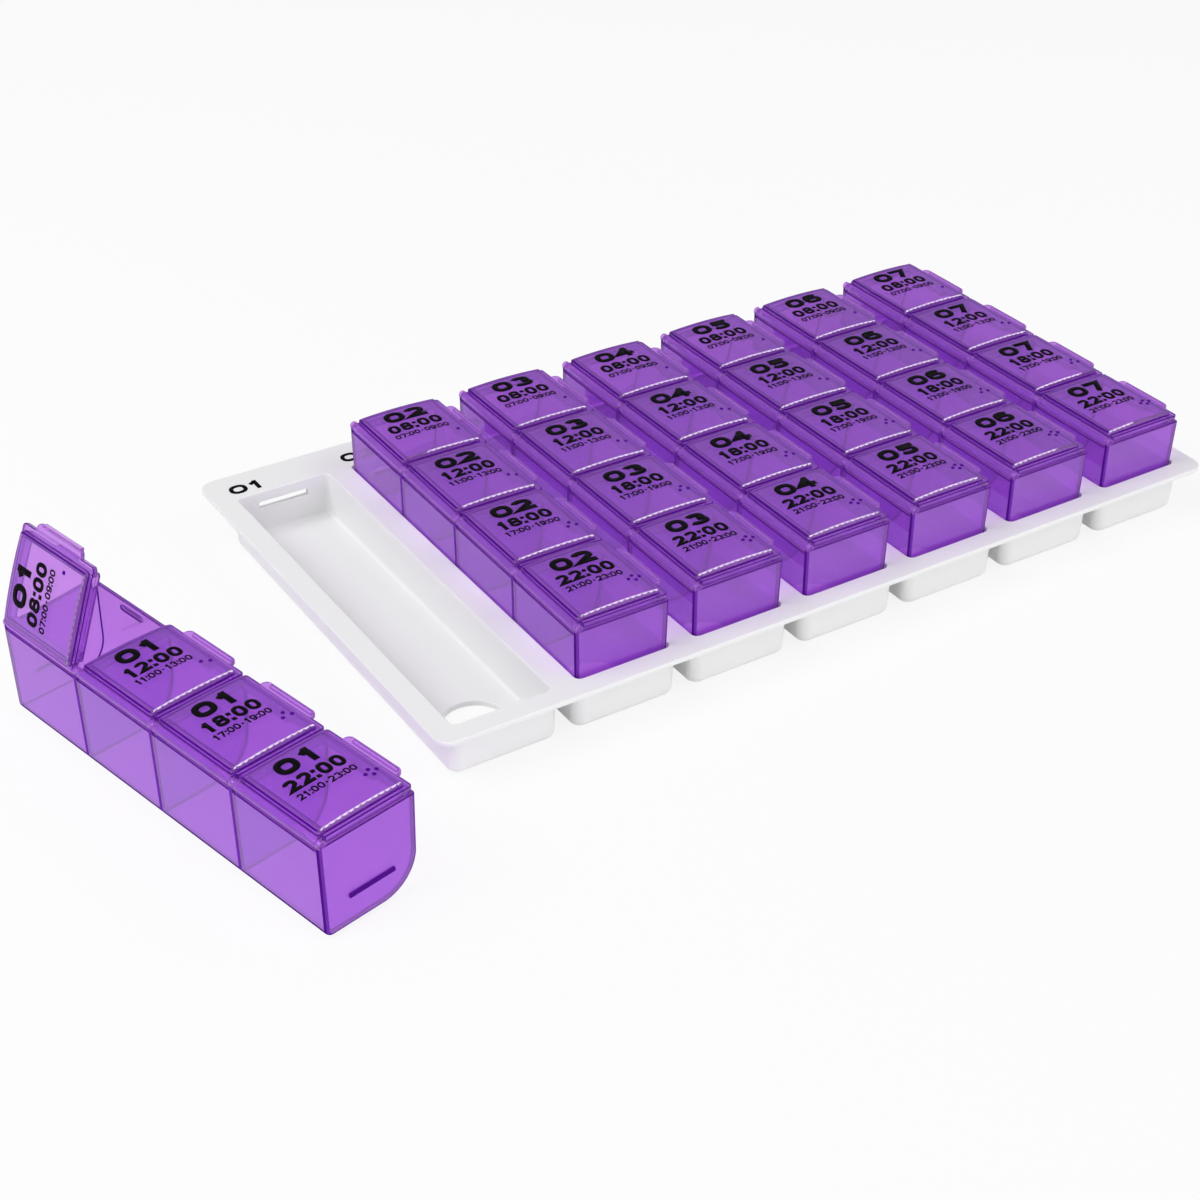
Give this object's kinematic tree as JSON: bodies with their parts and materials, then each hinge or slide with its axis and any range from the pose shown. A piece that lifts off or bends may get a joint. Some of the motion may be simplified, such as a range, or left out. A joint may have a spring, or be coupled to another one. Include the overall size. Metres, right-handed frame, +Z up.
{
  "type": "weekly pill organizer",
  "caption": "Weekly pill organizer: a pocketed tray with lift-out see-through day boxes, each with hinged compartment lids; one box is out, with a lid open",
  "frame": {"origin": "centre of the underside of the tray's middle pocket, on the plane that the tray and the loose box stand on", "axes": "+X from the first day to the last, +Y from the bedtime lids to the morning lids, +Z up"},
  "size_m": [0.3057, 0.1613, 0.0502],
  "materials": {
    "tray_plastic": "satin white",
    "box_plastic": "clear purple, polished",
    "lid_plastic": "clear purple, polished"
  },
  "bodies": {
    "tray": {"tray": "tray_plastic"},
    "sunday_box": {"sunday_box": "box_plastic"},
    "sunday_bedtime_lid": {"sunday_bedtime_lid": "lid_plastic"},
    "sunday_evening_lid": {"sunday_evening_lid": "lid_plastic"},
    "sunday_noon_lid": {"sunday_noon_lid": "lid_plastic"},
    "sunday_morning_lid": {"sunday_morning_lid": "lid_plastic"},
    "monday_box": {"monday_box": "box_plastic"},
    "monday_bedtime_lid": {"monday_bedtime_lid": "lid_plastic"},
    "monday_evening_lid": {"monday_evening_lid": "lid_plastic"},
    "monday_noon_lid": {"monday_noon_lid": "lid_plastic"},
    "monday_morning_lid": {"monday_morning_lid": "lid_plastic"},
    "tuesday_box": {"tuesday_box": "box_plastic"},
    "tuesday_bedtime_lid": {"tuesday_bedtime_lid": "lid_plastic"},
    "tuesday_evening_lid": {"tuesday_evening_lid": "lid_plastic"},
    "tuesday_noon_lid": {"tuesday_noon_lid": "lid_plastic"},
    "tuesday_morning_lid": {"tuesday_morning_lid": "lid_plastic"},
    "wednesday_box": {"wednesday_box": "box_plastic"},
    "wednesday_bedtime_lid": {"wednesday_bedtime_lid": "lid_plastic"},
    "wednesday_evening_lid": {"wednesday_evening_lid": "lid_plastic"},
    "wednesday_noon_lid": {"wednesday_noon_lid": "lid_plastic"},
    "wednesday_morning_lid": {"wednesday_morning_lid": "lid_plastic"},
    "thursday_box": {"thursday_box": "box_plastic"},
    "thursday_bedtime_lid": {"thursday_bedtime_lid": "lid_plastic"},
    "thursday_evening_lid": {"thursday_evening_lid": "lid_plastic"},
    "thursday_noon_lid": {"thursday_noon_lid": "lid_plastic"},
    "thursday_morning_lid": {"thursday_morning_lid": "lid_plastic"},
    "friday_box": {"friday_box": "box_plastic"},
    "friday_bedtime_lid": {"friday_bedtime_lid": "lid_plastic"},
    "friday_evening_lid": {"friday_evening_lid": "lid_plastic"},
    "friday_noon_lid": {"friday_noon_lid": "lid_plastic"},
    "friday_morning_lid": {"friday_morning_lid": "lid_plastic"},
    "saturday_box": {"saturday_box": "box_plastic"},
    "saturday_bedtime_lid": {"saturday_bedtime_lid": "lid_plastic"},
    "saturday_evening_lid": {"saturday_evening_lid": "lid_plastic"},
    "saturday_noon_lid": {"saturday_noon_lid": "lid_plastic"},
    "saturday_morning_lid": {"saturday_morning_lid": "lid_plastic"}
  },
  "joints": [
    {"name": "sunday_box_lift", "type": "slide", "parent": "tray", "child": "sunday_box", "axis": [0, 0, 1], "range_m": [0, 0.04]},
    {"name": "sunday_bedtime_lid_hinge", "type": "hinge", "parent": "sunday_box", "child": "sunday_bedtime_lid", "pos_m": [-0.16367, -0.07734, 0.0247], "axis": [0.2309, -0.973, 0], "range_deg": [0, 110]},
    {"name": "sunday_evening_lid_hinge", "type": "hinge", "parent": "sunday_box", "child": "sunday_evening_lid", "pos_m": [-0.17014, -0.05009, 0.0247], "axis": [0.2309, -0.973, 0], "range_deg": [0, 110]},
    {"name": "sunday_noon_lid_hinge", "type": "hinge", "parent": "sunday_box", "child": "sunday_noon_lid", "pos_m": [-0.1766, -0.02285, 0.0247], "axis": [0.2309, -0.973, 0], "range_deg": [0, 110]},
    {"name": "sunday_morning_lid_hinge", "type": "hinge", "parent": "sunday_box", "child": "sunday_morning_lid", "pos_m": [-0.18307, 0.00439, 0.0247], "axis": [0.2309, -0.973, 0], "range_deg": [-69, 41]},
    {"name": "monday_box_lift", "type": "slide", "parent": "tray", "child": "monday_box", "axis": [0, 0, 1], "range_m": [0, 0.04]},
    {"name": "monday_bedtime_lid_hinge", "type": "hinge", "parent": "monday_box", "child": "monday_bedtime_lid", "pos_m": [-0.0779, -0.042, 0.0266], "axis": [0, -1, 0], "range_deg": [0, 110]},
    {"name": "monday_evening_lid_hinge", "type": "hinge", "parent": "monday_box", "child": "monday_evening_lid", "pos_m": [-0.0779, -0.014, 0.0266], "axis": [0, -1, 0], "range_deg": [0, 110]},
    {"name": "monday_noon_lid_hinge", "type": "hinge", "parent": "monday_box", "child": "monday_noon_lid", "pos_m": [-0.0779, 0.014, 0.0266], "axis": [0, -1, 0], "range_deg": [0, 110]},
    {"name": "monday_morning_lid_hinge", "type": "hinge", "parent": "monday_box", "child": "monday_morning_lid", "pos_m": [-0.0779, 0.042, 0.0266], "axis": [0, -1, 0], "range_deg": [0, 110]},
    {"name": "tuesday_box_lift", "type": "slide", "parent": "tray", "child": "tuesday_box", "axis": [0, 0, 1], "range_m": [0, 0.04]},
    {"name": "tuesday_bedtime_lid_hinge", "type": "hinge", "parent": "tuesday_box", "child": "tuesday_bedtime_lid", "pos_m": [-0.0449, -0.042, 0.0266], "axis": [0, -1, 0], "range_deg": [0, 110]},
    {"name": "tuesday_evening_lid_hinge", "type": "hinge", "parent": "tuesday_box", "child": "tuesday_evening_lid", "pos_m": [-0.0449, -0.014, 0.0266], "axis": [0, -1, 0], "range_deg": [0, 110]},
    {"name": "tuesday_noon_lid_hinge", "type": "hinge", "parent": "tuesday_box", "child": "tuesday_noon_lid", "pos_m": [-0.0449, 0.014, 0.0266], "axis": [0, -1, 0], "range_deg": [0, 110]},
    {"name": "tuesday_morning_lid_hinge", "type": "hinge", "parent": "tuesday_box", "child": "tuesday_morning_lid", "pos_m": [-0.0449, 0.042, 0.0266], "axis": [0, -1, 0], "range_deg": [0, 110]},
    {"name": "wednesday_box_lift", "type": "slide", "parent": "tray", "child": "wednesday_box", "axis": [0, 0, 1], "range_m": [0, 0.04]},
    {"name": "wednesday_bedtime_lid_hinge", "type": "hinge", "parent": "wednesday_box", "child": "wednesday_bedtime_lid", "pos_m": [-0.0119, -0.042, 0.0266], "axis": [0, -1, 0], "range_deg": [0, 110]},
    {"name": "wednesday_evening_lid_hinge", "type": "hinge", "parent": "wednesday_box", "child": "wednesday_evening_lid", "pos_m": [-0.0119, -0.014, 0.0266], "axis": [0, -1, 0], "range_deg": [0, 110]},
    {"name": "wednesday_noon_lid_hinge", "type": "hinge", "parent": "wednesday_box", "child": "wednesday_noon_lid", "pos_m": [-0.0119, 0.014, 0.0266], "axis": [0, -1, 0], "range_deg": [0, 110]},
    {"name": "wednesday_morning_lid_hinge", "type": "hinge", "parent": "wednesday_box", "child": "wednesday_morning_lid", "pos_m": [-0.0119, 0.042, 0.0266], "axis": [0, -1, 0], "range_deg": [0, 110]},
    {"name": "thursday_box_lift", "type": "slide", "parent": "tray", "child": "thursday_box", "axis": [0, 0, 1], "range_m": [0, 0.04]},
    {"name": "thursday_bedtime_lid_hinge", "type": "hinge", "parent": "thursday_box", "child": "thursday_bedtime_lid", "pos_m": [0.0211, -0.042, 0.0266], "axis": [0, -1, 0], "range_deg": [0, 110]},
    {"name": "thursday_evening_lid_hinge", "type": "hinge", "parent": "thursday_box", "child": "thursday_evening_lid", "pos_m": [0.0211, -0.014, 0.0266], "axis": [0, -1, 0], "range_deg": [0, 110]},
    {"name": "thursday_noon_lid_hinge", "type": "hinge", "parent": "thursday_box", "child": "thursday_noon_lid", "pos_m": [0.0211, 0.014, 0.0266], "axis": [0, -1, 0], "range_deg": [0, 110]},
    {"name": "thursday_morning_lid_hinge", "type": "hinge", "parent": "thursday_box", "child": "thursday_morning_lid", "pos_m": [0.0211, 0.042, 0.0266], "axis": [0, -1, 0], "range_deg": [0, 110]},
    {"name": "friday_box_lift", "type": "slide", "parent": "tray", "child": "friday_box", "axis": [0, 0, 1], "range_m": [0, 0.04]},
    {"name": "friday_bedtime_lid_hinge", "type": "hinge", "parent": "friday_box", "child": "friday_bedtime_lid", "pos_m": [0.0541, -0.042, 0.0266], "axis": [0, -1, 0], "range_deg": [0, 110]},
    {"name": "friday_evening_lid_hinge", "type": "hinge", "parent": "friday_box", "child": "friday_evening_lid", "pos_m": [0.0541, -0.014, 0.0266], "axis": [0, -1, 0], "range_deg": [0, 110]},
    {"name": "friday_noon_lid_hinge", "type": "hinge", "parent": "friday_box", "child": "friday_noon_lid", "pos_m": [0.0541, 0.014, 0.0266], "axis": [0, -1, 0], "range_deg": [0, 110]},
    {"name": "friday_morning_lid_hinge", "type": "hinge", "parent": "friday_box", "child": "friday_morning_lid", "pos_m": [0.0541, 0.042, 0.0266], "axis": [0, -1, 0], "range_deg": [0, 110]},
    {"name": "saturday_box_lift", "type": "slide", "parent": "tray", "child": "saturday_box", "axis": [0, 0, 1], "range_m": [0, 0.04]},
    {"name": "saturday_bedtime_lid_hinge", "type": "hinge", "parent": "saturday_box", "child": "saturday_bedtime_lid", "pos_m": [0.0871, -0.042, 0.0266], "axis": [0, -1, 0], "range_deg": [0, 110]},
    {"name": "saturday_evening_lid_hinge", "type": "hinge", "parent": "saturday_box", "child": "saturday_evening_lid", "pos_m": [0.0871, -0.014, 0.0266], "axis": [0, -1, 0], "range_deg": [0, 110]},
    {"name": "saturday_noon_lid_hinge", "type": "hinge", "parent": "saturday_box", "child": "saturday_noon_lid", "pos_m": [0.0871, 0.014, 0.0266], "axis": [0, -1, 0], "range_deg": [0, 110]},
    {"name": "saturday_morning_lid_hinge", "type": "hinge", "parent": "saturday_box", "child": "saturday_morning_lid", "pos_m": [0.0871, 0.042, 0.0266], "axis": [0, -1, 0], "range_deg": [0, 110]}
  ]
}
